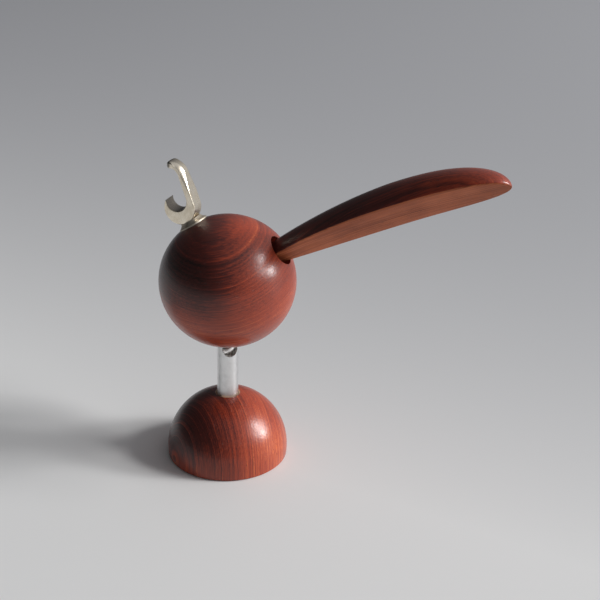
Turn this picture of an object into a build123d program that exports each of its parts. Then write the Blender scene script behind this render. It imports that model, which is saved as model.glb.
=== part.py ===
"""Bird-shaped corkscrew and bottle opener on a half-round wooden stand. Sizes in millimetres.

+Z is up and the origin is the centre of the stand's underside. The bird looks towards -X, its tail
handle points towards +X, and its middle plane is the XZ plane. The sheath tube turns in the stand,
and the bird with its corkscrew lifts straight up out of the sheath tube.
"""

import os
from math import atan2, cos, degrees, radians, sin, sqrt

from build123d import *

os.makedirs("parts", exist_ok=True)

# Stand: a turned dome, a little more than half of a sphere, with a blind bore for the tube
DOME_RADIUS = 27.5
DOME_CENTRE_HEIGHT = 3.6
DOME_FOOT_CHAMFER = 0.6
BORE_FLOOR_HEIGHT = 6.0
BORE_MOUTH_CHAMFER = 0.9

# Sheath tube: plain aluminium tube, loose in the stand's bore
TUBE_RADIUS = 4.75
TUBE_WALL = 0.6
TUBE_CLEARANCE = 0.08
TUBE_END_CHAMFER = 0.15
NOTCH_RADIUS = 3.45
NOTCH_BOTTOM_HEIGHT = 50.3
NOTCH_AZIMUTH = 37.5  # from -Y towards +X

# Body ball: turned, slightly flattened, an oval of two radii in its profile
BALL_RADIUS = 30.0
BALL_HALF_HEIGHT = 29.05
BALL_SIDE_RADIUS = 28.6
BALL_CENTRE_HEIGHT = 85.35
SEAT_HEIGHT = 60.3  # the floor of the recess in the ball's underside, which rests on the tube
SEAT_RADIUS = 5.0

# Corkscrew: one round wire, wound right-handed, then bent onto the axis and glued in the ball
WIRE_RADIUS = 1.25
WORM_RADIUS = 3.9
WORM_PITCH = 10.0
WORM_TIP_HEIGHT = 11.0
WORM_TOP_HEIGHT = 53.8
WORM_TOP_AZIMUTH = 50.0  # from -Y towards +X
STEM_IN_BALL = 20.0

# Opener: cast crown-cap claw, drawn in the bird's middle plane
CLAW_ELEVATION = 56.5  # of its axis through the ball's centre, above the -X direction
CLAW_WIDTH = 7.5
COLLAR_SEAT = 28.6  # distances from the ball's centre along the claw's axis
CLAW_SEAT = 31.0
LOBE_CENTRE = 37.5
LOBE_RADIUS = 6.8
MOUTH_RADIUS = 4.6
MOUTH_RISE = 3.7
ARM_LEAN = 19.5  # the arm leans this far from vertical, towards -X
ARM_THICKNESS = 2.7
ARM_LENGTH = 13.5
CROWN_RADIUS = 6.6
TONGUE_LENGTH = 2.4
TONGUE_CORNER = 2.9
LIP_CHAMFER = 0.5
TANG_RADIUS = 2.5
TANG_START = 12.0
TANG_OVERLAP = 0.45  # how far the tang runs into the claw's lobe, as one casting

# Collar: flared ring round the claw's tang
COLLAR_RADIUS = 6.5
COLLAR_TOP_RADIUS = 4.7
COLLAR_RIM = 0.6
COLLAR_FLARE = 3.2

# Tail handle: D section, flat side down and turned towards -Y, arched over its length
TAIL_ELEVATION = 30.2
TAIL_ROLL = 35.0
TAIL_START = 27.0  # distance of its root section from the ball's centre
TAIL_LENGTH = 105.3
TAIL_ARCH_RADIUS = 566.0
TAIL_HALF_WIDTH = 11.35
TAIL_THICKNESS = 13.8
TAIL_ROOT_WIDTH_SHARE = 0.47
TAIL_ROOT_THICKNESS_SHARE = 0.6
TAIL_WIDEST_AT = 0.55  # share of its length
WIDTH_RISE = 2.3  # powers of the curves from the root to the widest place, and on to the tip
WIDTH_FALL = 4.0
THICKNESS_RISE = 1.45
THICKNESS_FALL = 2.5
TAIL_SIDE_SECTIONS = 4
TAIL_TIP_SECTIONS = 6
TAIL_HOLE_RADIUS = 6.75
TAIL_HOLE_OFFSET = 3.4  # of the hole's axis above the flat side
TAIL_HOLE_DEPTH = 6.0  # below the ball's radius
SPIGOT_RADIUS = 3.5
SPIGOT_OFFSET = 4.0
SPIGOT_LENGTH = 12.0

ball_centre = Vector(0, 0, BALL_CENTRE_HEIGHT)


# Stand -----------------------------------------------------------------------------------------

dome_top_height = DOME_CENTRE_HEIGHT + DOME_RADIUS
foot_radius = sqrt(DOME_RADIUS**2 - DOME_CENTRE_HEIGHT**2)
bore_radius = TUBE_RADIUS + TUBE_CLEARANCE
bore_mouth_height = DOME_CENTRE_HEIGHT + sqrt(DOME_RADIUS**2 - bore_radius**2)

with BuildPart() as base:
    with BuildSketch(Plane.XZ):
        with BuildLine():
            Line((0, 0), (foot_radius, 0))
            ThreePointArc((foot_radius, 0), (DOME_RADIUS, DOME_CENTRE_HEIGHT), (0, dome_top_height))
            Line((0, dome_top_height), (0, 0))
        make_face()
    revolve(axis=Axis.Z)
    chamfer(base.edges().group_by(Axis.Z)[0], DOME_FOOT_CHAMFER)
    with BuildSketch(Plane.XY.offset(BORE_FLOOR_HEIGHT)):
        Circle(bore_radius)
    extrude(amount=DOME_RADIUS + DOME_CENTRE_HEIGHT, mode=Mode.SUBTRACT)
    with BuildSketch(Plane.XY.offset(bore_mouth_height - BORE_MOUTH_CHAMFER)):
        Circle(bore_radius)
    extrude(amount=2 * BORE_MOUTH_CHAMFER, taper=-45, mode=Mode.SUBTRACT)

base.part.label = "base"
export_step(base.part, "parts/base.step")


# Sheath tube -----------------------------------------------------------------------------------

notch_direction = Vector(sin(radians(NOTCH_AZIMUTH)), -cos(radians(NOTCH_AZIMUTH)), 0)
notch_centre_height = NOTCH_BOTTOM_HEIGHT + NOTCH_RADIUS
notch_plane = Plane(
    origin=(0, 0, notch_centre_height),
    x_dir=notch_direction.cross(Vector(0, 0, -1)),
    z_dir=notch_direction,
)

with BuildPart() as sheath_tube:
    with BuildSketch(Plane.XY.offset(BORE_FLOOR_HEIGHT)):
        Circle(TUBE_RADIUS)
        Circle(TUBE_RADIUS - TUBE_WALL, mode=Mode.SUBTRACT)
    extrude(amount=SEAT_HEIGHT - BORE_FLOOR_HEIGHT)
    chamfer(sheath_tube.faces().filter_by(Axis.Z).edges(), TUBE_END_CHAMFER)
    with BuildSketch(notch_plane):
        Circle(NOTCH_RADIUS)
        with Locations((0, NOTCH_RADIUS)):
            Rectangle(2 * NOTCH_RADIUS, 2 * NOTCH_RADIUS)
    extrude(amount=2 * TUBE_RADIUS, mode=Mode.SUBTRACT)

sheath_tube.part.label = "sheath_tube"
export_step(sheath_tube.part, "parts/sheath_tube.step")


# Directions of the claw and of the tail ----------------------------------------------------------

claw_axis = Vector(-cos(radians(CLAW_ELEVATION)), 0, sin(radians(CLAW_ELEVATION)))


def on_claw_axis(distance):
    """Plane square to the claw's axis, facing out of the ball, at a distance from its centre."""
    return Plane(origin=ball_centre + claw_axis * distance, x_dir=(0, 1, 0), z_dir=claw_axis)


tail_axis = Vector(cos(radians(TAIL_ELEVATION)), 0, sin(radians(TAIL_ELEVATION)))
tail_up = Vector(-sin(radians(TAIL_ELEVATION)), 0, cos(radians(TAIL_ELEVATION)))
tail_back = tail_up * cos(radians(TAIL_ROLL)) + Vector(0, 1, 0) * sin(radians(TAIL_ROLL))
tail_side = tail_back.cross(tail_axis)


def across_tail(distance, offset=0.0):
    """Plane square to the tail's root, at a distance from the ball's centre and an offset from the
    flat side; its X runs across the flat side and its Y towards the rounded back."""
    origin = ball_centre + tail_axis * distance + tail_back * offset
    return Plane(origin=origin, x_dir=tail_side, z_dir=tail_axis)


# Body ball -------------------------------------------------------------------------------------

tail_hole_floor = BALL_RADIUS - TAIL_HOLE_DEPTH
side_offset = BALL_RADIUS - BALL_SIDE_RADIUS
cap_excess = BALL_HALF_HEIGHT - BALL_SIDE_RADIUS
cap_drop = (side_offset**2 - cap_excess**2) / (2 * cap_excess)
cap_radius = BALL_HALF_HEIGHT + cap_drop
join_angle = degrees(atan2(cap_drop, side_offset))

with BuildPart() as body_ball:
    with BuildSketch(Plane.YZ):
        with BuildLine():
            lower_cap = CenterArc(
                (0, BALL_CENTRE_HEIGHT + cap_drop), cap_radius, -90, 90 - join_angle
            )
            CenterArc(
                (side_offset, BALL_CENTRE_HEIGHT), BALL_SIDE_RADIUS, -join_angle, 2 * join_angle
            )
            upper_cap = CenterArc(
                (0, BALL_CENTRE_HEIGHT - cap_drop), cap_radius, join_angle, 90 - join_angle
            )
            Line(upper_cap @ 1, lower_cap @ 0)
        make_face()
    revolve(axis=Axis.Z)
    # recess that stands on the tube, and the bore for the corkscrew's stem
    with BuildSketch(Plane.XY.offset(SEAT_HEIGHT)):
        Circle(SEAT_RADIUS)
    extrude(amount=-BALL_RADIUS / 2, mode=Mode.SUBTRACT)
    with BuildSketch(Plane.XY.offset(SEAT_HEIGHT + STEM_IN_BALL)):
        Circle(WIRE_RADIUS)
    extrude(amount=-STEM_IN_BALL, mode=Mode.SUBTRACT)
    # flat seat under the collar, and the bore for the claw's tang
    with BuildSketch(on_claw_axis(COLLAR_SEAT)):
        Circle(COLLAR_RADIUS)
    extrude(amount=COLLAR_RADIUS, mode=Mode.SUBTRACT)
    with BuildSketch(on_claw_axis(TANG_START)):
        Circle(TANG_RADIUS)
    extrude(amount=COLLAR_SEAT - TANG_START, mode=Mode.SUBTRACT)
    # wide hole round the tail's root, and the narrower bore for its spigot
    with BuildSketch(across_tail(tail_hole_floor, TAIL_HOLE_OFFSET)):
        Circle(TAIL_HOLE_RADIUS)
    extrude(amount=2 * TAIL_HOLE_DEPTH, mode=Mode.SUBTRACT)
    with BuildSketch(across_tail(tail_hole_floor, SPIGOT_OFFSET)):
        Circle(SPIGOT_RADIUS)
    extrude(amount=-SPIGOT_LENGTH, mode=Mode.SUBTRACT)

body_ball.part.label = "body_ball"
export_step(body_ball.part, "parts/body_ball.step")


# Tail handle -----------------------------------------------------------------------------------


def swell(share, root_share, rise, fall):
    """Size of the tail's section as a share of its largest, along its length from 0 to 1."""
    if share <= TAIL_WIDEST_AT:
        return root_share + (1 - root_share) * (1 - (1 - share / TAIL_WIDEST_AT) ** rise)
    return sqrt(1 - ((share - TAIL_WIDEST_AT) / (1 - TAIL_WIDEST_AT)) ** fall)


def tail_plane(share):
    """Plane of the section at a share of the length, following the arch of the flat side."""
    turn = share * TAIL_LENGTH / TAIL_ARCH_RADIUS
    forward = TAIL_START + TAIL_ARCH_RADIUS * sin(turn)
    drop = TAIL_ARCH_RADIUS * (1 - cos(turn))
    return Plane(
        origin=ball_centre + tail_axis * forward - tail_back * drop,
        x_dir=tail_side,
        z_dir=tail_axis * cos(turn) - tail_back * sin(turn),
    )


section_shares = [TAIL_WIDEST_AT * i / TAIL_SIDE_SECTIONS for i in range(TAIL_SIDE_SECTIONS)]
section_shares += [
    TAIL_WIDEST_AT + (1 - TAIL_WIDEST_AT) * sin(radians(90 * i / TAIL_TIP_SECTIONS))
    for i in range(TAIL_TIP_SECTIONS)
]
tail_tip = Vertex(tail_plane(1.0).origin)

tail_sections = []
for section_share in section_shares:
    width_share = swell(section_share, TAIL_ROOT_WIDTH_SHARE, WIDTH_RISE, WIDTH_FALL)
    thickness_share = swell(
        section_share, TAIL_ROOT_THICKNESS_SHARE, THICKNESS_RISE, THICKNESS_FALL
    )
    half_width = TAIL_HALF_WIDTH * width_share
    thickness = TAIL_THICKNESS * thickness_share
    with BuildSketch(tail_plane(section_share)) as tail_section:
        with BuildLine():
            EllipticalCenterArc((0, 0), half_width, thickness, 0, arc_size=180)
            Line((-half_width, 0), (half_width, 0))
        make_face()
    tail_sections.append(tail_section.sketch)

with BuildPart() as tail_handle:
    loft(sections=[*tail_sections, tail_tip])
    # straight run into the hole, then the spigot
    extrude(
        tail_handle.faces().filter_by(GeomType.PLANE).sort_by_distance(ball_centre)[0],
        amount=TAIL_START - tail_hole_floor,
    )
    with BuildSketch(across_tail(tail_hole_floor, SPIGOT_OFFSET)):
        Circle(SPIGOT_RADIUS)
    extrude(amount=-SPIGOT_LENGTH)

tail_handle.part.label = "tail_handle"
export_step(tail_handle.part, "parts/tail_handle.step")


# Opener claw -----------------------------------------------------------------------------------


def polar(origin, distance, angle):
    """Point at a distance and an angle in degrees from another, in the sketch's plane."""
    return origin + Vector(cos(radians(angle)), sin(radians(angle))) * distance


lobe = polar(Vector(0, BALL_CENTRE_HEIGHT), LOBE_CENTRE, 180 - CLAW_ELEVATION)
arm_direction = 90 + ARM_LEAN
mouth = polar(lobe, LOBE_RADIUS - ARM_THICKNESS - MOUTH_RADIUS, ARM_LEAN)
mouth = polar(mouth, MOUTH_RISE, arm_direction)

# the lip's point is where the lobe's circle meets the mouth's circle
lobe_to_mouth = mouth - lobe
gap = lobe_to_mouth.length
lip_along = (LOBE_RADIUS**2 - MOUTH_RADIUS**2 + gap**2) / (2 * gap)
lip_across = sqrt(LOBE_RADIUS**2 - lip_along**2)
lip_direction = lobe_to_mouth.normalized()
lip = lobe + lip_direction * lip_along + lip_direction.rotate(Axis.Z, 90) * lip_across
lip_angle_lobe = degrees(atan2(lip.Y - lobe.Y, lip.X - lobe.X)) % 360
lip_angle_mouth = degrees(atan2(lip.Y - mouth.Y, lip.X - mouth.X)) % 360

arm_foot = polar(lobe, LOBE_RADIUS, ARM_LEAN)
arm_top = polar(arm_foot, ARM_LENGTH, arm_direction)
crown = polar(arm_top, -CROWN_RADIUS, ARM_LEAN)
inner_crown_radius = CROWN_RADIUS - ARM_THICKNESS
tongue_top = polar(polar(crown, CROWN_RADIUS, 90), TONGUE_LENGTH, 180)
tongue_under = polar(polar(crown, inner_crown_radius, 90), TONGUE_LENGTH, 180)

with BuildPart() as opener_claw:
    with BuildSketch(Plane.XZ):
        with BuildLine():
            CenterArc(lobe, LOBE_RADIUS, lip_angle_lobe, 360 + ARM_LEAN - lip_angle_lobe)
            Line(arm_foot, arm_top)
            CenterArc(crown, CROWN_RADIUS, ARM_LEAN, 90 - ARM_LEAN)
            Line(polar(crown, CROWN_RADIUS, 90), tongue_top)
            Line(tongue_top, tongue_under)
            Line(tongue_under, polar(crown, inner_crown_radius, 90))
            CenterArc(crown, inner_crown_radius, 90, ARM_LEAN - 90)
            Line(polar(crown, inner_crown_radius, ARM_LEAN), polar(mouth, MOUTH_RADIUS, ARM_LEAN))
            CenterArc(mouth, MOUTH_RADIUS, ARM_LEAN, lip_angle_mouth - 360 - ARM_LEAN)
        make_face()
    extrude(amount=CLAW_WIDTH / 2, both=True)
    fillet(
        opener_claw.faces().sort_by(Axis.X)[0].edges().filter_by(Axis.Z),
        TONGUE_CORNER,
    )
    lip_edge = opener_claw.edges().filter_by(Axis.Y).sort_by_distance(Vector(lip.X, 0, lip.Y))[0]
    chamfer(lip_edge, LIP_CHAMFER)
    # flat seat on the collar, then the tang into the ball
    with BuildSketch(on_claw_axis(CLAW_SEAT)):
        Circle(COLLAR_RADIUS)
    extrude(amount=-COLLAR_RADIUS, mode=Mode.SUBTRACT)
    with BuildSketch(on_claw_axis(TANG_START)):
        Circle(TANG_RADIUS)
    extrude(amount=CLAW_SEAT - TANG_START + TANG_OVERLAP)

opener_claw.part.label = "opener_claw"
export_step(opener_claw.part, "parts/opener_claw.step")


# Claw collar -----------------------------------------------------------------------------------

collar_height = CLAW_SEAT - COLLAR_SEAT
collar_section = Plane(
    origin=on_claw_axis(COLLAR_SEAT).origin,
    x_dir=(0, 1, 0),
    z_dir=Vector(0, 1, 0).cross(claw_axis),
)

with BuildPart() as claw_collar:
    with BuildSketch(collar_section):
        with BuildLine():
            Line((TANG_RADIUS, 0), (COLLAR_RADIUS, 0))
            Line((COLLAR_RADIUS, 0), (COLLAR_RADIUS, COLLAR_RIM))
            RadiusArc((COLLAR_RADIUS, COLLAR_RIM), (COLLAR_TOP_RADIUS, collar_height), COLLAR_FLARE)
            Line((COLLAR_TOP_RADIUS, collar_height), (TANG_RADIUS, collar_height))
            Line((TANG_RADIUS, collar_height), (TANG_RADIUS, 0))
        make_face()
    revolve(axis=Axis(ball_centre, claw_axis))

claw_collar.part.label = "claw_collar"
export_step(claw_collar.part, "parts/claw_collar.step")


# Corkscrew -------------------------------------------------------------------------------------

worm_top_angle = radians(WORM_TOP_AZIMUTH - 90)
worm_height = WORM_TOP_HEIGHT - WORM_TIP_HEIGHT
worm_start_angle = worm_top_angle - radians(360 * worm_height / WORM_PITCH)
worm_plane = Plane(
    origin=(0, 0, WORM_TIP_HEIGHT),
    x_dir=(cos(worm_start_angle), sin(worm_start_angle), 0),
    z_dir=(0, 0, 1),
)

with BuildPart() as corkscrew_worm:
    with BuildLine(worm_plane) as wire_path:
        worm = Helix(WORM_PITCH, worm_height, WORM_RADIUS - WIRE_RADIUS)
        stem_foot = (0, 0, SEAT_HEIGHT - WORM_TIP_HEIGHT)
        Spline(worm @ 1, stem_foot, tangents=[worm % 1, (0, 0, 1)])
        Line(stem_foot, (0, 0, SEAT_HEIGHT - WORM_TIP_HEIGHT + STEM_IN_BALL))
    with BuildSketch(Plane(origin=wire_path.wire() @ 0, z_dir=wire_path.wire() % 0)):
        Circle(WIRE_RADIUS)
    sweep(path=wire_path.wire(), is_frenet=True)

corkscrew_worm.part.label = "corkscrew_worm"
export_step(corkscrew_worm.part, "parts/corkscrew_worm.step")
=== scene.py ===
"""Looks of the bird-shaped corkscrew and bottle opener: its woods, metals, light and camera.

Lengths are in metres, in the frame's axes: +Z is up from the stand's underside, the bird's middle
plane is XZ and its tail points to +X. Inside the wood and metal materials, lengths are in
millimetres.
"""

from math import asin, atan2, cos, pi, radians, sin, sqrt

import bmesh
import bpy
from mathutils import Matrix, Vector


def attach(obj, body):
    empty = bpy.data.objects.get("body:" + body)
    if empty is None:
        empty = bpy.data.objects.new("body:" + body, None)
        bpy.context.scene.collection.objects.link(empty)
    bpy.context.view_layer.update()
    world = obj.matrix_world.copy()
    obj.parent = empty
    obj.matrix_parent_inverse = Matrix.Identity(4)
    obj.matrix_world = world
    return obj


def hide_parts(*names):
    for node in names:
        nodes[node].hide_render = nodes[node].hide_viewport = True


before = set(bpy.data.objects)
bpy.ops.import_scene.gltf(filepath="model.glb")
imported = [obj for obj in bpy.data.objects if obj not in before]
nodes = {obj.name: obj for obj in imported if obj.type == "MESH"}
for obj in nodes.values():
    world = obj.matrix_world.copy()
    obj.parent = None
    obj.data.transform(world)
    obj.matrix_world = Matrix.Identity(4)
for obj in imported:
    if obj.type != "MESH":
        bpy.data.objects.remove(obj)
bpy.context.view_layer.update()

MM = 0.001

BALL_CENTRE = Vector((0, 0, 85.35 * MM))


# Node graphs -------------------------------------------------------------------------------------


class Graph:
    """A node tree, with short calls that each add one node and return its main output."""

    def __init__(self, tree):
        self.tree = tree
        tree.nodes.clear()

    def node(self, kind, inputs=None, **settings):
        """Adds a node; inputs maps a socket's name or number to a value or to another socket."""
        made = self.tree.nodes.new("ShaderNode" + kind)
        for name, value in settings.items():
            setattr(made, name, value)
        for key, value in (inputs or {}).items():
            if isinstance(value, bpy.types.NodeSocket):
                self.tree.links.new(value, made.inputs[key])
            else:
                made.inputs[key].default_value = value
        return made

    def math(self, operation, *values, clamp=False):
        numbered = dict(enumerate(values))
        return self.node("Math", numbered, operation=operation, use_clamp=clamp).outputs[0]

    def vector(self, operation, *values):
        numbered = dict(enumerate(values))
        made = self.node("VectorMath", numbered, operation=operation)
        return made.outputs["Value" if operation in ("DOT_PRODUCT", "LENGTH") else "Vector"]

    def combine(self, x, y, z):
        return self.node("CombineXYZ", {0: x, 1: y, 2: z}).outputs[0]

    def noise(self, vector, scale=1.0, detail=2.0, roughness=0.5, distortion=0.0):
        inputs = {
            "Vector": vector,
            "Scale": scale,
            "Detail": detail,
            "Roughness": roughness,
            "Distortion": distortion,
        }
        return self.node("TexNoise", inputs).outputs[0]

    def span(self, value, low, high, to_low=0.0, to_high=1.0, smooth=True):
        """Maps low..high to to_low..to_high, held at both ends."""
        inputs = {"Value": value, 1: low, 2: high, 3: to_low, 4: to_high}
        kind = "SMOOTHSTEP" if smooth else "LINEAR"
        return self.node("MapRange", inputs, interpolation_type=kind).outputs[0]

    def ramp(self, value, *stops):
        """Colour ramp with (place, colour) stops."""
        made = self.node("ValToRGB", {"Fac": value})
        elements = made.color_ramp.elements
        while len(elements) < len(stops):
            elements.new(0.5)
        for element, (place, colour) in zip(elements, stops):
            element.position = place
            element.color = (*colour, 1.0)
        return made.outputs["Color"]

    def blend(self, factor, first, second, kind="MIX"):
        """Mixes two colours; a constant colour is given as three numbers."""
        made = self.node("Mix", {"Factor": factor}, data_type="RGBA", blend_type=kind)
        for key, value in ((6, first), (7, second)):
            if isinstance(value, bpy.types.NodeSocket):
                self.tree.links.new(value, made.inputs[key])
            else:
                made.inputs[key].default_value = (*value, 1.0)
        return made.outputs[2]

    def object_mm(self, centre=(0, 0, 0)):
        """The piece's own coordinates from a centre, in millimetres."""
        place = self.node("TexCoord").outputs["Object"]
        moved = self.vector("SUBTRACT", place, tuple(centre))
        return self.vector("MULTIPLY", moved, (1 / MM, 1 / MM, 1 / MM))

    def along_axes(self, place, x_axis, y_axis, z_axis):
        """Coordinates of a place along three unit vectors, as one vector."""
        dots = [self.vector("DOT_PRODUCT", place, tuple(a)) for a in (x_axis, y_axis, z_axis)]
        return self.combine(*dots)

    def bump(self, height, distance, strength=1.0):
        inputs = {"Height": height, "Distance": distance, "Strength": strength}
        return self.node("Bump", inputs).outputs[0]


def material(name, build, **choices):
    """New material whose graph is made by build(graph, shader, ...)."""
    made = bpy.data.materials.new(name)
    made.use_nodes = True
    graph = Graph(made.node_tree)
    shader = graph.node("BsdfPrincipled")
    output = graph.node("OutputMaterial")
    graph.tree.links.new(shader.outputs[0], output.inputs["Surface"])
    build(graph, shader, **choices)
    return made


def connect(graph, shader, **inputs):
    """Sets the shader's sockets, named with _ for a space; a socket is linked, a number is set."""
    for name, value in inputs.items():
        socket = shader.inputs[name.replace("_", " ")]
        if isinstance(value, bpy.types.NodeSocket):
            graph.tree.links.new(value, socket)
        else:
            socket.default_value = value


# Wood --------------------------------------------------------------------------------------------

TREE_RADIUS = 90.0  # how far the piece grew from the middle of the trunk
WAVE_HEIGHT = 2.0
WAVE_SCALE = (0.02, 0.045, 0.045)  # this and the scales below: along, across and through the rings
STREAK_SCALE = (0.016, 0.05, 1.7)
THREAD_SCALE = (0.08, 1.5, 2.6)
PORE_SCALE = (0.20, 3.0, 4.2)
CLOUD_SCALE = 0.035
PEEL_SCALE = 1.1

# what each pattern adds to the tone, which runs from 0 for the darkest wood to 1 for the palest
LATE_WOOD_SHARE = -0.16
STREAK_SHARE = 0.52
CLOUD_SHARE = 0.45
THREAD_SHARE = 0.50
MEAN_TONE = 0.46
TONE_OFFSET = -0.12

LATE_WOOD_RISE = 1.8
EARLY_WOOD_END = 0.22
CALM_RINGS = 0.25
RING_WIDTH_SWING = 3.4

PORE_COLOUR = (0.022, 0.006, 0.004)
PORE_COVER = 0.65
PORE_RELIEF = 0.03 * MM
VARNISH_RELIEF = 0.05 * MM


def wood_axes(normal, fibre):
    """Unit vectors along the fibre, across it and square to the growth rings."""
    normal = Vector(normal).normalized()
    across = normal.cross(Vector(fibre)).normalized()
    return across.cross(normal), across, normal


def wood(
    graph,
    shader,
    centre,
    normal,
    fibre,
    pitch,
    tones,
    coat,
    lift=0.0,
    contrast=1.0,
    pale_line=0.17,
    heart=None,
    dark_patch=None,
    ring_line=None,
    bare_mouth=None,
):
    """Red hardwood: uneven growth rings, streaks and pores along the fibre.

    heart: the depths between which the tone falls, and by how much.
    dark_patch: how much darker, as painted shade (a negative amount paints light), then its sides,
    each a direction and where it begins and ends.
    ring_line: depth, half width and added tone of one clear ring, and the tone added above it.
    bare_mouth: radius and colour of a paler rim round a hole on Z.
    """
    axes = wood_axes(normal, fibre)
    here = graph.object_mm(centre)
    place = graph.along_axes(here, *axes)
    along, across, depth = graph.node("SeparateXYZ", {0: place}).outputs

    # distance across the rings, bent with the trunk and waved along the fibre
    bend = graph.math("MULTIPLY", across, across)
    bend = graph.math("MULTIPLY", bend, 0.5 / TREE_RADIUS)
    wave = graph.noise(graph.vector("MULTIPLY", place, WAVE_SCALE), detail=2.0)
    wave = graph.math("MULTIPLY_ADD", wave, WAVE_HEIGHT, -0.5 * WAVE_HEIGHT)
    depth = graph.math("ADD", depth, graph.math("ADD", bend, wave))
    bent_place = graph.combine(along, across, depth)

    # rings: unequal widths, each beginning with a thin pale line and darkening slowly
    uneven = graph.noise(graph.combine(0.0, 0.0, graph.math("MULTIPLY", depth, 0.23)), detail=2.0)
    years = graph.math("MULTIPLY", depth, 1 / pitch)
    years = graph.math("MULTIPLY_ADD", uneven, RING_WIDTH_SWING, years)
    ring = graph.math("FRACT", years)
    late = graph.math("POWER", ring, LATE_WOOD_RISE)
    early = graph.span(ring, 0.0, EARLY_WOOD_END, 1.0, 0.0)
    strong = graph.noise(graph.combine(0.0, 3.0, years), scale=0.35, detail=1.0)
    if ring_line:
        calm = graph.span(depth, ring_line[0] - 1.0, ring_line[0], 1.0, CALM_RINGS)
        strong = graph.math("MULTIPLY", strong, calm)

    # along the fibre: broad streaks, fine threads, and clouds that follow neither
    streaks = graph.vector("MULTIPLY", bent_place, STREAK_SCALE)
    streak = graph.noise(streaks, detail=3.0, roughness=0.6)
    threads = graph.vector("MULTIPLY", bent_place, THREAD_SCALE)
    thread = graph.noise(threads, detail=4.0, roughness=0.6)
    cloud = graph.noise(place, scale=CLOUD_SCALE, detail=3.0)

    tone = graph.math("MULTIPLY", late, graph.math("MULTIPLY", strong, LATE_WOOD_SHARE))
    tone = graph.math("MULTIPLY_ADD", early, graph.math("MULTIPLY", strong, pale_line), tone)
    tone = graph.math("MULTIPLY_ADD", streak, STREAK_SHARE, tone)
    tone = graph.math("MULTIPLY_ADD", cloud, CLOUD_SHARE, tone)
    offset = MEAN_TONE * (1 - contrast) + lift + TONE_OFFSET
    tone = graph.math("MULTIPLY_ADD", tone, contrast, offset)
    tone = graph.math("MULTIPLY_ADD", thread, THREAD_SHARE, tone)
    if heart:
        start, end, amount = heart
        ragged = graph.math("MULTIPLY_ADD", thread, 5.0, depth)
        tone = graph.math("ADD", tone, graph.span(ragged, start, end, 0.0, -amount))
    # painted shade: the tone falls towards the given directions; a negative amount paints light
    # instead
    if dark_patch:
        darker, *sides = dark_patch
        for direction, start, end in sides:
            reach = graph.vector("DOT_PRODUCT", here, tuple(direction))
            darker = graph.math("MULTIPLY", graph.span(reach, start, end), darker)
        tone = graph.math("SUBTRACT", tone, darker)
    if ring_line:
        level, width, amount, above = ring_line
        tone = graph.math("ADD", tone, graph.span(depth, level - 0.3, level + 0.3, 0.0, above))
        off = graph.math("ABSOLUTE", graph.math("SUBTRACT", depth, level))
        tone = graph.math("ADD", tone, graph.span(off, 0.0, width, amount, 0.0))
    colour = graph.ramp(tone, *tones)

    # pores: short dark dashes, thicker in the early wood
    pore = graph.vector("MULTIPLY", bent_place, PORE_SCALE)
    pore = graph.noise(pore, detail=1.0, roughness=0.4)
    pore_edge = graph.span(ring, 0.0, 0.8, 0.64, 0.73)
    pore = graph.span(graph.math("SUBTRACT", pore, pore_edge), 0.0, 0.06)
    colour = graph.blend(graph.math("MULTIPLY", pore, PORE_COVER), colour, PORE_COLOUR)

    # the wood round the hole's mouth is paler
    if bare_mouth:
        radius, rim_colour = bare_mouth
        from_axis = graph.vector("LENGTH", graph.vector("MULTIPLY", here, (1, 1, 0)))
        bare = graph.span(from_axis, radius, radius + 0.5, 0.85, 0.0)
        colour = graph.blend(bare, colour, rim_colour)

    # pores are sunk in the wood, and show a little through the varnish's own soft grain
    relief = graph.math("MULTIPLY_ADD", pore, -0.8, graph.math("MULTIPLY", thread, 0.35))
    peel = graph.math("ADD", graph.noise(here, scale=PEEL_SCALE, detail=2.0), relief)
    connect(
        graph,
        shader,
        Base_Color=colour,
        Roughness=graph.span(thread, 0.3, 0.7, 0.45, 0.58),
        Normal=graph.bump(relief, PORE_RELIEF),
        Coat_Normal=graph.bump(peel, VARNISH_RELIEF),
        Specular_IOR_Level=0.12,
        Coat_Weight=coat,
        Coat_Roughness=0.27,
        Coat_IOR=1.5,
    )


TURNED_TONES = (
    (0.0, (0.016, 0.004, 0.003)),
    (0.32, (0.085, 0.012, 0.008)),
    (0.62, (0.345, 0.046, 0.016)),
    (1.0, (0.740, 0.180, 0.050)),
)

BARE_TONES = (
    (0.2, (0.150, 0.036, 0.014)),
    (0.5, (0.310, 0.080, 0.032)),
    (0.8, (0.470, 0.140, 0.060)),
)


# Metals ------------------------------------------------------------------------------------------


SCRATCH_SCALE = (6.0, 6.0, 0.35)  # short across Z, long along it
TARNISH_SCALE = 0.35
SCRATCH_ROUGHNESS = 0.22
TARNISH_ROUGHNESS = 0.12


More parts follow.
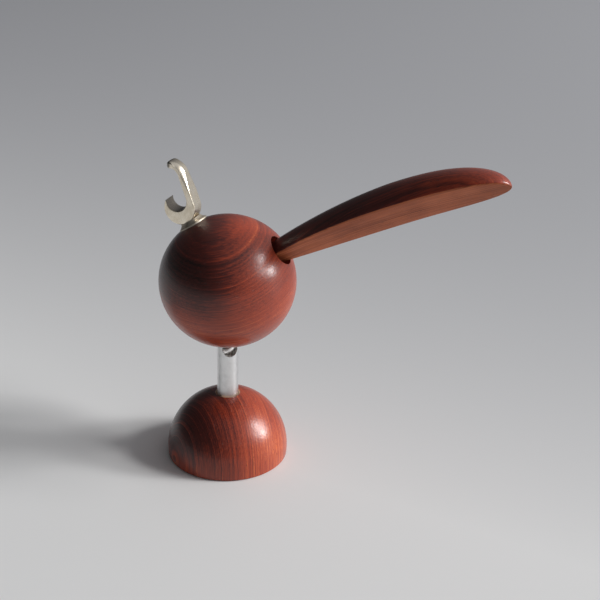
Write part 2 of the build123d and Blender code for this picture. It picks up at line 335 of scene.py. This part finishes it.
def metal(graph, shader, colour, dark, roughness, bumpiness, dull_spots=()):
    """Worn metal: fine scratches along Z, cloudy tarnish, and painted spots of shade and light.

    Each painted spot is a cylinder: its radius, edge, centre, the two axes square to its own, and
    the spot's metallic value and colour.
    """
    place = graph.object_mm()
    scratches = graph.vector("MULTIPLY", place, SCRATCH_SCALE)
    scratches = graph.noise(scratches, detail=4.0, roughness=0.7)
    cloud = graph.noise(place, scale=TARNISH_SCALE, detail=4.0, roughness=0.6)
    colour = graph.blend(graph.span(cloud, 0.35, 0.7), colour, dark)
    least = roughness - 0.5 * SCRATCH_ROUGHNESS
    rough = graph.math("MULTIPLY_ADD", scratches, SCRATCH_ROUGHNESS, least)
    rough = graph.math("MULTIPLY_ADD", cloud, TARNISH_ROUGHNESS, rough)
    metallic = 1.0
    # painted spots: dark ones stand for shade and dark reflections, pale ones for light inside a
    # hollow
    for radius, edge, centre, across, spot_metallic, spot_colour in dull_spots:
        square = graph.vector("MULTIPLY", graph.object_mm(centre), across)
        bright = graph.span(graph.vector("LENGTH", square), radius - edge, radius + edge)
        colour = graph.blend(bright, spot_colour, colour)
        if spot_metallic < 1.0:
            metallic = graph.span(bright, 0.0, 1.0, spot_metallic, 1.0)
    connect(
        graph,
        shader,
        Base_Color=colour,
        Roughness=rough,
        Metallic=metallic,
        Normal=graph.bump(scratches, bumpiness * MM),
    )


# Shapes ------------------------------------------------------------------------------------------


def new_piece(name, mesh, body, node, finish):
    """Adds a smooth-shaded piece that stands for a CAD node and rides on its body."""
    for polygon in mesh.polygons:
        polygon.use_smooth = True
    mesh.materials.append(finish)
    piece = bpy.data.objects.new(name, mesh)
    bpy.context.scene.collection.objects.link(piece)
    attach(piece, body)
    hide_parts(node)
    return piece


def skin_rings(grid, rings):
    """Quads between neighbouring closed rings of points; returns the first and last ring."""
    made = [[grid.verts.new(point) for point in ring] for ring in rings]
    for near, far in zip(made, made[1:]):
        for i in range(len(near)):
            j = (i + 1) % len(near)
            grid.faces.new((near[i], near[j], far[j], far[i]))
    return made[0], made[-1]


def close_fan(grid, ring, point):
    """Triangles from a ring to one point."""
    middle = grid.verts.new(point)
    for i in range(len(ring)):
        grid.faces.new((ring[i], ring[(i + 1) % len(ring)], middle))


def finished_mesh(name, grid):
    bmesh.ops.recalc_face_normals(grid, faces=grid.faces)
    mesh = bpy.data.meshes.new(name)
    grid.to_mesh(mesh)
    grid.free()
    return mesh


# Tail handle -------------------------------------------------------------------------------------

TAIL_ELEVATION = radians(30.2)
TAIL_ROLL = radians(35.0)
TAIL_START = 27.0 * MM
TAIL_LENGTH = 105.3 * MM
TAIL_ARCH_RADIUS = 566.0 * MM
TAIL_HALF_WIDTH = 11.35 * MM
TAIL_THICKNESS = 13.8 * MM
TAIL_WIDEST_AT = 0.55
TAIL_EDGE = 0.7 * MM
TAIL_HOLE_FLOOR = 24.0 * MM
SPIGOT_RADIUS = 3.5 * MM
SPIGOT_OFFSET = 4.0 * MM
SPIGOT_LENGTH = 12.0 * MM

tail_axis = Vector((cos(TAIL_ELEVATION), 0, sin(TAIL_ELEVATION)))
tail_up = Vector((-sin(TAIL_ELEVATION), 0, cos(TAIL_ELEVATION)))
tail_back = tail_up * cos(TAIL_ROLL) + Vector((0, 1, 0)) * sin(TAIL_ROLL)
tail_side = tail_back.cross(tail_axis)


def swell(share, root_share, rise, fall):
    """Size of the tail's section as a share of its largest, along its length from 0 to 1."""
    if share <= TAIL_WIDEST_AT:
        return root_share + (1 - root_share) * (1 - (1 - share / TAIL_WIDEST_AT) ** rise)
    return sqrt(1 - ((share - TAIL_WIDEST_AT) / (1 - TAIL_WIDEST_AT)) ** fall)


def tail_section(half_width, thickness, steps=28):
    """D-shaped outline with soft corners: across the flat side, and towards the rounded back."""
    edge = min(TAIL_EDGE, 0.4 * half_width, 0.4 * thickness)
    corner = half_width * sqrt(1 - (edge / thickness) ** 2) - edge
    right = [radians(-90 + 90 * i / 6) for i in range(6)]
    right = [(corner + edge * cos(a), edge + edge * sin(a)) for a in right]
    start = asin(edge / thickness)
    arch = [start + (pi - 2 * start) * i / steps for i in range(steps + 1)]
    arch = [(half_width * cos(a), thickness * sin(a)) for a in arch]
    left = [(-x, y) for x, y in reversed(right)]
    flat = [(corner * x, 0) for x in (-0.6, -0.2, 0.2, 0.6)]
    return right + arch + left + flat


def tail_ring(share):
    """Points of the section at a share of the length, on the arch of the flat side."""
    width = TAIL_HALF_WIDTH * swell(share, 0.47, 2.3, 4.0)
    thickness = TAIL_THICKNESS * swell(share, 0.6, 1.45, 2.5)
    turn = share * TAIL_LENGTH / TAIL_ARCH_RADIUS
    forward = TAIL_START + TAIL_ARCH_RADIUS * sin(turn)
    drop = TAIL_ARCH_RADIUS * (1 - cos(turn))
    centre = BALL_CENTRE + tail_axis * forward - tail_back * drop
    toward_back = tail_back * cos(turn) + tail_axis * sin(turn)
    return [centre + tail_side * x + toward_back * y for x, y in tail_section(width, thickness)]


def tail_mesh():
    shares = [TAIL_WIDEST_AT * i / 24 for i in range(24)]
    shares += [TAIL_WIDEST_AT + (1 - TAIL_WIDEST_AT) * sin(pi / 2 * i / 32) for i in range(32)]
    rings = [tail_ring(share) for share in shares]
    back_step = tail_axis * (TAIL_START - TAIL_HOLE_FLOOR)
    root = [point - back_step for point in rings[0]]
    spigot_centre = BALL_CENTRE + tail_axis * TAIL_HOLE_FLOOR + tail_back * SPIGOT_OFFSET
    spigot = []
    for x, y in tail_section(0.5 * TAIL_HALF_WIDTH, 0.6 * TAIL_THICKNESS):
        out = Vector((x, y - SPIGOT_OFFSET)).normalized() * SPIGOT_RADIUS
        spigot.append(spigot_centre + tail_side * out.x + tail_back * out.y)
    spigot_end = [point - tail_axis * SPIGOT_LENGTH for point in spigot]
    grid = bmesh.new()
    first, last = skin_rings(grid, [spigot_end, spigot, root] + rings)
    close_fan(grid, first, spigot_centre - tail_axis * SPIGOT_LENGTH)
    tip_turn = TAIL_LENGTH / TAIL_ARCH_RADIUS
    tip = BALL_CENTRE + tail_axis * (TAIL_START + TAIL_ARCH_RADIUS * sin(tip_turn))
    close_fan(grid, last, tip - tail_back * TAIL_ARCH_RADIUS * (1 - cos(tip_turn)))
    return finished_mesh("tail", grid)


# Opener claw -------------------------------------------------------------------------------------

CLAW_ELEVATION = radians(56.5)
CLAW_WIDTH = 7.5 * MM
CLAW_SEAT = 31.0 * MM
LOBE_CENTRE = 37.5 * MM
LOBE_RADIUS = 7.1 * MM
MOUTH_RADIUS = 4.7 * MM
MOUTH_RISE = 3.7 * MM
ARM_LEAN = radians(19.5)
ARM_THICKNESS = 2.7 * MM
ARM_LENGTH = 14.1 * MM
CROWN_RADIUS = 6.6 * MM
TONGUE_LENGTH = 1.9 * MM
TONGUE_PLAN_CORNER = 2.3 * MM
TONGUE_ROOT = 2.6 * MM  # how far past the crown's middle the tongue narrows
TONGUE_TOP_CORNER = 1.2 * MM
TONGUE_UNDER_CORNER = 0.6 * MM
TONGUE_EDGE = 1.1 * MM
CLAW_EDGE = 0.4 * MM
CROWN_EDGE = 2.2 * MM
LIP_BLUNT = 0.3 * MM
LIP_EDGE = 0.06 * MM
LIP_EDGE_GROWTH = 0.2  # softness gained per length away from the lip
WORN_FLATNESS = 0.6  # how far a fully worn edge turns from round to a flat slope
WORN_INSET = 0.35  # how much less a fully worn edge cuts into the outline

claw_axis = Vector((-cos(CLAW_ELEVATION), 0, sin(CLAW_ELEVATION)))
arm_out = Vector((cos(ARM_LEAN), 0, sin(ARM_LEAN)))
arm_up = Vector((-sin(ARM_LEAN), 0, cos(ARM_LEAN)))
lobe_centre = BALL_CENTRE + claw_axis * LOBE_CENTRE
mouth_centre = lobe_centre + arm_out * (LOBE_RADIUS - ARM_THICKNESS - MOUTH_RADIUS)
mouth_centre += arm_up * MOUTH_RISE
crown_centre = lobe_centre + arm_out * (LOBE_RADIUS - CROWN_RADIUS) + arm_up * ARM_LENGTH
tongue_end = crown_centre + Vector((-TONGUE_LENGTH, 0, CROWN_RADIUS - ARM_THICKNESS / 2))


def claw_arc(centre, radius, start, end, steps, soft, inside=False):
    """Points along an arc in the middle plane, each with its outward normal and edge softness."""
    spots = []
    for i in range(steps + 1):
        angle = start + (end - start) * i / steps
        outward = Vector((cos(angle), 0, sin(angle)))
        spots.append((centre + outward * radius, -outward if inside else outward, soft))
    return spots


def claw_outline():
    """Side view of the claw, from its lip round the lobe, arm, crown and tongue to the lip."""
    lobe, mouth, crown = lobe_centre, mouth_centre, crown_centre
    inner_radius = CROWN_RADIUS - ARM_THICKNESS
    # the lip is where the lobe's circle meets the mouth's
    gap = (mouth - lobe).length
    along = (LOBE_RADIUS**2 - MOUTH_RADIUS**2 + gap**2) / (2 * gap)
    toward = (mouth - lobe).normalized()
    lip = lobe + toward * along
    lip += Vector((-toward.z, 0, toward.x)) * sqrt(LOBE_RADIUS**2 - along**2)
    lip_on_lobe = atan2(lip.z - lobe.z, lip.x - lobe.x) % (2 * pi)
    lip_on_mouth = atan2(lip.z - mouth.z, lip.x - mouth.x) % (2 * pi) - 2 * pi
    lip_on_lobe += LIP_BLUNT / LOBE_RADIUS
    lip_on_mouth += LIP_BLUNT / MOUTH_RADIUS

    spots = claw_arc(lobe, LOBE_RADIUS, lip_on_lobe, 2 * pi + ARM_LEAN, 48, CLAW_EDGE)
    for i in range(1, 10):
        soft = CLAW_EDGE + (CROWN_EDGE - CLAW_EDGE) * max(0.0, i / 10 - 0.4) / 0.6
        place = lobe + arm_out * LOBE_RADIUS + arm_up * ARM_LENGTH * i / 10
        spots.append((place, arm_out, soft))
    for i, spot in enumerate(claw_arc(crown, CROWN_RADIUS, ARM_LEAN, pi / 2, 18, CROWN_EDGE)):
        soft = CROWN_EDGE + (TONGUE_EDGE - CROWN_EDGE) * max(0.0, i / 9 - 1) ** 2
        spots.append((spot[0], spot[1], soft))
    end = crown.x - TONGUE_LENGTH
    top = Vector((end + TONGUE_TOP_CORNER, 0, crown.z + CROWN_RADIUS - TONGUE_TOP_CORNER))
    spots += claw_arc(top, TONGUE_TOP_CORNER, pi / 2, pi, 6, TONGUE_EDGE)
    under = Vector((1, 0, 1)) * TONGUE_UNDER_CORNER + Vector((end, 0, crown.z + inner_radius))
    spots += claw_arc(under, TONGUE_UNDER_CORNER, pi, 1.5 * pi, 5, CLAW_EDGE)
    spots += claw_arc(crown, inner_radius, pi / 2, ARM_LEAN, 14, CLAW_EDGE, inside=True)
    spots += claw_arc(mouth, MOUTH_RADIUS, ARM_LEAN, lip_on_mouth, 36, CLAW_EDGE, inside=True)
    return spots, crown


def claw_ring(spots, crown, side, turn, level):
    """The outline at a level across the claw: side is -1 or 1, turn goes round the soft edge."""
    ring = []
    reach = TONGUE_LENGTH + TONGUE_ROOT
    for place, outward, soft in spots:
        lip_gap = min((place - spots[0][0]).length, (place - spots[-1][0]).length)
        soft = min(soft, LIP_EDGE + LIP_EDGE_GROWTH * lip_gap)
        worn = max(0.0, (soft - CLAW_EDGE) / (CROWN_EDGE - CLAW_EDGE))
        flat = WORN_FLATNESS * worn
        slope = flat * turn / (pi / 2)
        flank = CLAW_WIDTH / 2 - soft
        y = flank * level + soft * ((1 - flat) * sin(turn) + slope)
        inset = soft * (1 - WORN_INSET * worn) * ((1 - flat) * (1 - cos(turn)) + slope)
        point = place - outward * inset
        beyond = max(0.0, y - CLAW_WIDTH / 2 + TONGUE_PLAN_CORNER)
        cut = TONGUE_PLAN_CORNER - sqrt(TONGUE_PLAN_CORNER**2 - beyond**2)
        if place.z > crown.z:
            point.x += cut * max(0.0, crown.x + TONGUE_ROOT - point.x) / reach
        ring.append(Vector((point.x, side * y, point.z)))
    return ring


def claw_mesh():
    """Outline carried across the claw's width with soft edges, then cut flat on its collar."""
    spots, crown = claw_outline()
    turns = [pi / 2 * i / 6 for i in range(6, 0, -1)]
    levels = [i / 6 for i in range(6, 0, -1)]
    rings = [claw_ring(spots, crown, -1, turn, 1.0) for turn in turns]
    rings += [claw_ring(spots, crown, -1, 0.0, level) for level in levels]
    rings += [claw_ring(spots, crown, 1, 0.0, level) for level in [0.0] + levels[::-1]]
    rings += [claw_ring(spots, crown, 1, turn, 1.0) for turn in turns[::-1]]
    grid = bmesh.new()
    first, last = skin_rings(grid, rings)
    grid.faces.new(first)
    grid.faces.new(last)
    geometry = list(grid.verts) + list(grid.edges) + list(grid.faces)
    cut = bmesh.ops.bisect_plane(
        grid,
        geom=geometry,
        plane_co=BALL_CENTRE + claw_axis * CLAW_SEAT,
        plane_no=-claw_axis,
        clear_outer=True,
    )
    rim = [item for item in cut["geom_cut"] if isinstance(item, bmesh.types.BMEdge)]
    bmesh.ops.contextual_create(grid, geom=rim)
    caps = [face for face in grid.faces if len(face.verts) > 4]
    bmesh.ops.triangulate(grid, faces=caps, ngon_method="EAR_CLIP")
    mesh = finished_mesh("claw", grid)
    mesh.polygons.foreach_set("use_smooth", [True] * len(mesh.polygons))
    mesh.set_sharp_from_angle(angle=radians(40))
    return mesh


# Corkscrew ---------------------------------------------------------------------------------------

WIRE_RADIUS = 1.25 * MM
WORM_RADIUS = 3.9 * MM
WORM_PITCH = 10.0 * MM
WORM_TIP_HEIGHT = 11.0 * MM
WORM_TOP_HEIGHT = 53.8 * MM
WORM_TOP_AZIMUTH = radians(50.0 - 90.0)
SEAT_HEIGHT = 60.3 * MM
STEM_IN_BALL = 20.0 * MM
TAPER_TURN = 0.6


def worm_mesh():
    """Round wire: pointed tip, helix, bend onto the axis, then the straight stem."""
    coil = WORM_RADIUS - WIRE_RADIUS
    height = WORM_TOP_HEIGHT - WORM_TIP_HEIGHT
    turns = height / WORM_PITCH
    points = []
    steps = 150
    for i in range(steps + 1):
        left = turns * (1 - i / steps)
        angle = WORM_TOP_AZIMUTH - 2 * pi * left
        rise = WORM_TOP_HEIGHT - left * WORM_PITCH
        thin = min(1.0, 0.06 + (turns - left) / TAPER_TURN)
        points.append((Vector((coil * cos(angle), coil * sin(angle), rise)), thin))
    # cubic from the helix's end to the axis
    start = points[-1][0]
    slope = Vector((-sin(WORM_TOP_AZIMUTH), cos(WORM_TOP_AZIMUTH), WORM_PITCH / (2 * pi * coil)))
    stem_foot = Vector((0, 0, SEAT_HEIGHT))
    reach = (stem_foot - start).length
    leave = slope.normalized() * reach
    arrive = Vector((0, 0, 1)) * reach
    for i in range(1, 25):
        t = i / 24
        place = (
            start * (2 * t**3 - 3 * t**2 + 1)
            + leave * (t**3 - 2 * t**2 + t)
            + stem_foot * (3 * t**2 - 2 * t**3)
            + arrive * (t**3 - t**2)
        )
        points.append((place, 1.0))
    points.append((stem_foot + Vector((0, 0, STEM_IN_BALL)), 1.0))
    curve = bpy.data.curves.new("wire", "CURVE")
    curve.dimensions = "3D"
    curve.bevel_depth = WIRE_RADIUS
    curve.bevel_resolution = 5
    curve.use_fill_caps = True
    line = curve.splines.new("POLY")
    line.points.add(len(points) - 1)
    for spot, (place, thin) in zip(line.points, points):
        spot.co = (*place, 1.0)
        spot.radius = thin
    wire = bpy.data.objects.new("wire", curve)
    bpy.context.scene.collection.objects.link(wire)
    bpy.context.view_layer.update()
    mesh = bpy.data.meshes.new_from_object(wire)
    bpy.data.objects.remove(wire)
    return mesh


# Floor -------------------------------------------------------------------------------------------

FLOOR_RADIUS = 6.0
FLOOR_FADE = 0.25
FLOOR_NEAR = (0.75, 0.75, 0.745)
# painted shade: the grey the floor fades to away from the object, standing for the window light's
# falloff
FLOOR_SHADED_FAR = (0.38, 0.383, 0.40)


def floor_paint(graph, shader):
    """Smooth matt board, pale near the object, with painted shade that greys it with distance
    behind and to the right of it.
    """
    place = graph.node("TexCoord").outputs["Object"]
    away = graph.vector("DOT_PRODUCT", place, tuple(view_away + view_right * 0.55))
    away = graph.math("MAXIMUM", away, 0.0)
    near = graph.math("EXPONENT", graph.math("MULTIPLY", away, -1 / FLOOR_FADE))
    cloud = graph.noise(place, scale=6.0, detail=3.0)
    near = graph.math("MULTIPLY", near, graph.math("MULTIPLY_ADD", cloud, 0.03, 0.985))
    # painted shade: the floor greys behind the object and towards the right
    colour = graph.blend(near, FLOOR_SHADED_FAR, FLOOR_NEAR)
    connect(graph, shader, Base_Color=colour, Roughness=0.6, Specular_IOR_Level=0.25)


def add_floor():
    grid = bmesh.new()
    bmesh.ops.create_circle(grid, cap_ends=True, segments=96, radius=FLOOR_RADIUS)
    mesh = bpy.data.meshes.new("floor")
    grid.to_mesh(mesh)
    grid.free()
    floor = bpy.data.objects.new("floor", mesh)
    bpy.context.scene.collection.objects.link(floor)
    mesh.materials.append(material("floor_paint", floor_paint))


# Camera and light --------------------------------------------------------------------------------

CAMERA_AZIMUTH = radians(17.5)
CAMERA_ELEVATION = radians(23.621)
CAMERA_ROLL = radians(1.664)
CAMERA_DISTANCE = 482.285 * MM
CAMERA_LENS = 66.0
SENSOR_WIDTH = 36.0
TARGET_RIGHT = 31.667 * MM
TARGET_HEIGHT = 77.088 * MM

# horizontal directions as the camera sees them
view_right = Vector((cos(CAMERA_AZIMUTH), sin(CAMERA_AZIMUTH), 0))
view_away = Vector((-sin(CAMERA_AZIMUTH), cos(CAMERA_AZIMUTH), 0))


def add_camera():
    back = -view_away * cos(CAMERA_ELEVATION) + Vector((0, 0, sin(CAMERA_ELEVATION)))
    up = back.cross(view_right)
    side = view_right * cos(CAMERA_ROLL) + up * sin(CAMERA_ROLL)
    top = up * cos(CAMERA_ROLL) - view_right * sin(CAMERA_ROLL)
    target = view_right * TARGET_RIGHT + Vector((0, 0, TARGET_HEIGHT))
    data = bpy.data.cameras.new("camera")
    data.lens = CAMERA_LENS
    data.sensor_width = SENSOR_WIDTH
    data.clip_start = 0.01
    data.clip_end = 30.0
    camera = bpy.data.objects.new("camera", data)
    bpy.context.scene.collection.objects.link(camera)
    turned = Matrix((side, top, back)).transposed().to_4x4()
    camera.matrix_world = Matrix.Translation(target + back * CAMERA_DISTANCE) @ turned
    bpy.context.scene.camera = camera


LIGHT_DISTANCE = 6.0

# window panes: bearing from the camera's right and elevation in degrees, size in metres, watts
PANES = {
    "pane_low": (-2, 20, 1.05, 0.8, 165.0),
    "pane_middle": (-4, 28.5, 3.6, 1.2, 165.0),
    "pane_high": (-4, 38, 1.1, 0.9, 105.0),
}

# sky: brighter towards the panes
SKY_COLOUR = (0.95, 0.96, 1.0, 1.0)
SKY_LEAST = 0.06
SKY_RISE = 0.48


def area_light(name, bearing, elevation, width, height, power):
    """Rectangular light aimed at the ball; a positive bearing is away from the camera."""
    level = view_right * cos(bearing) + view_away * sin(bearing)
    direction = level * cos(elevation) + Vector((0, 0, sin(elevation)))
    data = bpy.data.lights.new(name, "AREA")
    data.shape = "RECTANGLE"
    data.size = width
    data.size_y = height
    data.energy = power
    light = bpy.data.objects.new(name, data)
    bpy.context.scene.collection.objects.link(light)
    light.location = BALL_CENTRE + direction * LIGHT_DISTANCE
    light.rotation_mode = "QUATERNION"
    light.rotation_quaternion = direction.to_track_quat("Z", "Y")


def add_world():
    world = bpy.data.worlds.new("room")
    bpy.context.scene.world = world
    world.use_nodes = True
    graph = Graph(world.node_tree)
    bright_side = (view_right * 0.85 + view_away * 0.1 + Vector((0, 0, 0.5))).normalized()
    direction = graph.node("TexCoord").outputs["Generated"]
    toward = graph.vector("DOT_PRODUCT", direction, tuple(bright_side))
    toward = graph.math("MAXIMUM", toward, 0.0)
    strength = graph.math("MULTIPLY_ADD", toward, SKY_RISE, SKY_LEAST)
    sky = graph.node("Background", {"Color": SKY_COLOUR, "Strength": strength})
    output = graph.node("OutputWorld")
    graph.tree.links.new(sky.outputs[0], output.inputs["Surface"])


# The build ---------------------------------------------------------------------------------------

bpy.context.scene.view_settings.view_transform = "Standard"

add_camera()
add_world()
for pane, (bearing, elevation, *size_and_power) in PANES.items():
    area_light(pane, radians(bearing), radians(elevation), *size_and_power)
add_floor()

ball_wood = material(
    "ball_wood",
    wood,
    centre=BALL_CENTRE,
    normal=view_right * -0.18 + view_away * -0.13 + Vector((0, 0, 0.975)),
    fibre=view_right,
    pitch=1.6,
    tones=TURNED_TONES,
    coat=0.85,
    lift=0.03,
    contrast=0.75,
    heart=(-2.0, 8.0, 0.10),
    # painted shade: the ball is darkened on its upper left, the side turned from the window
    dark_patch=(0.42, (-view_right, -18.0, 15.0), (Vector((0, 0, 1)), -9.0, 12.0)),
    ring_line=(23.6, 0.45, 0.13, 0.13),
)
base_wood = material(
    "base_wood",
    wood,
    centre=(0, 0, 0),
    normal=view_right * 0.82 + view_away * 0.57,
    fibre=(0, 0, 1),
    pitch=2.9,
    tones=TURNED_TONES,
    coat=0.85,
    lift=0.01,
    pale_line=0.30,
    # painted shade: the stand's dome is darkened on its left and top, the side turned from the
    # window
    dark_patch=(0.40, (-view_right, -17.0, 18.0), (Vector((0, 0, 1)), -4.0, 18.0)),
    bare_mouth=(5.3, (0.62, 0.42, 0.28)),
)
tail_grain = {
    "centre": BALL_CENTRE,
    "normal": tail_side + tail_back * 0.2,
    "fibre": tail_axis,
    "pitch": 3.0,
}
tail_back_wood = material(
    "tail_back_wood",
    wood,
    tones=TURNED_TONES,
    coat=1.0,
    lift=-0.37,
    # the tail's back is paler towards its tip: partly painted light where the window reaches it,
    # partly the wood's own redder tone
    dark_patch=(-0.34, (tail_axis, 70.0, 125.0)),
    **tail_grain,
)
tail_flat_wood = material(
    "tail_flat_wood", wood, tones=BARE_TONES, coat=0.0, contrast=2.4, **tail_grain
)
nickel = material(
    "nickel",
    metal,
    # painted shade: the inside of the mouth and the tongue's end are darkened, standing for dark
    # reflections
    dull_spots=(
        (MOUTH_RADIUS / MM + 0.1, 0.1, mouth_centre, (1, 0, 1), 1.0, (0.26, 0.23, 0.19)),
        (1.9, 0.5, tongue_end, (1, 0, 1), 1.0, (0.24, 0.22, 0.19)),
    ),
    colour=(0.88, 0.80, 0.66),
    dark=(0.74, 0.65, 0.51),
    roughness=0.22,
    bumpiness=0.01,
)
# painted shade: a darker, rougher copy of the claw's nickel, darkened to dim the collar's
# reflections
collar_nickel = material(
    "collar_nickel",
    metal,
    colour=(0.50, 0.45, 0.38),
    dark=(0.36, 0.32, 0.26),
    roughness=0.5,
    bumpiness=0.01,
)
aluminium = material(
    "aluminium",
    metal,
    # painted light: the tube's bore is made pale and matt, so its inside reads as lit
    dull_spots=((4.3, 0.1, (0, 0, 0), (1, 1, 0), 0.0, (0.95, 0.94, 0.91)),),
    colour=(0.80, 0.80, 0.80),
    dark=(0.72, 0.72, 0.72),
    roughness=0.28,
    bumpiness=0.01,
)
steel = material(
    "steel",
    metal,
    colour=(0.97, 0.96, 0.94),
    dark=(0.88, 0.87, 0.86),
    roughness=0.55,
    bumpiness=0.005,
)

for name, finish in (
    ("base", base_wood),
    ("body_ball", ball_wood),
    ("claw_collar", collar_nickel),
    ("sheath_tube", aluminium),
):
    for place in nodes[name].material_slots:
        place.material = finish

tail = new_piece("tail", tail_mesh(), "bird", "tail_handle", tail_back_wood)
tail.data.materials.append(tail_flat_wood)
for polygon in tail.data.polygons:
    if polygon.normal.dot(tail_back) < -0.6:
        polygon.material_index = 1
new_piece("claw", claw_mesh(), "bird", "opener_claw", nickel)
new_piece("corkscrew", worm_mesh(), "bird", "corkscrew_worm", steel)
